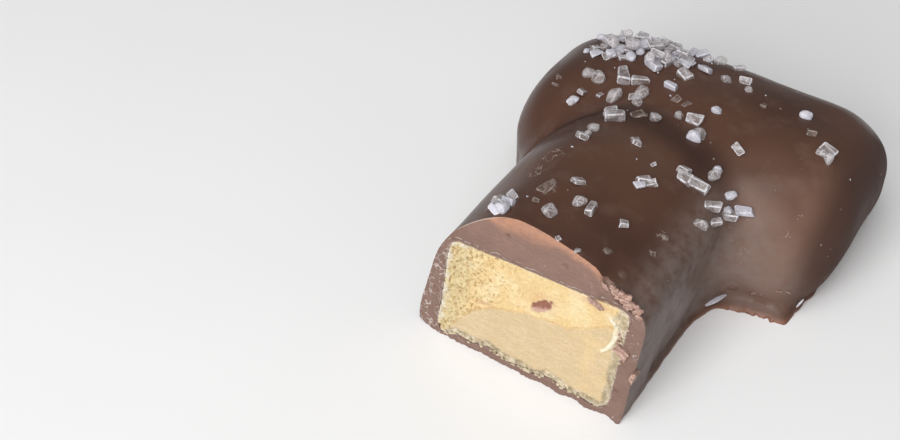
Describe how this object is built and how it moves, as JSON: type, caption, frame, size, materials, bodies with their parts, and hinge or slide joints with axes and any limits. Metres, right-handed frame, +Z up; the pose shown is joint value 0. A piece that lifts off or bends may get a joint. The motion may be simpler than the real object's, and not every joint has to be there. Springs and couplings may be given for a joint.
{
  "type": "half chocolate bar",
  "caption": "Half of a T-shaped milk chocolate bar with a honeycomb centre and coarse salt on top, lying flat with its cut face open.",
  "frame": {"origin": "on the base, under the middle of the length and width", "axes": "+Z up from the flat base, +Y from the cut towards the crossbar, +X to the right lobe"},
  "size_m": [0.0522, 0.061, 0.0228],
  "materials": {
    "chocolate": "satin",
    "honeycomb": "dry and porous",
    "salt": "translucent crystal"
  },
  "bodies": {
    "root": {"coating": "chocolate", "filling": "honeycomb"}
  },
  "joints": []
}
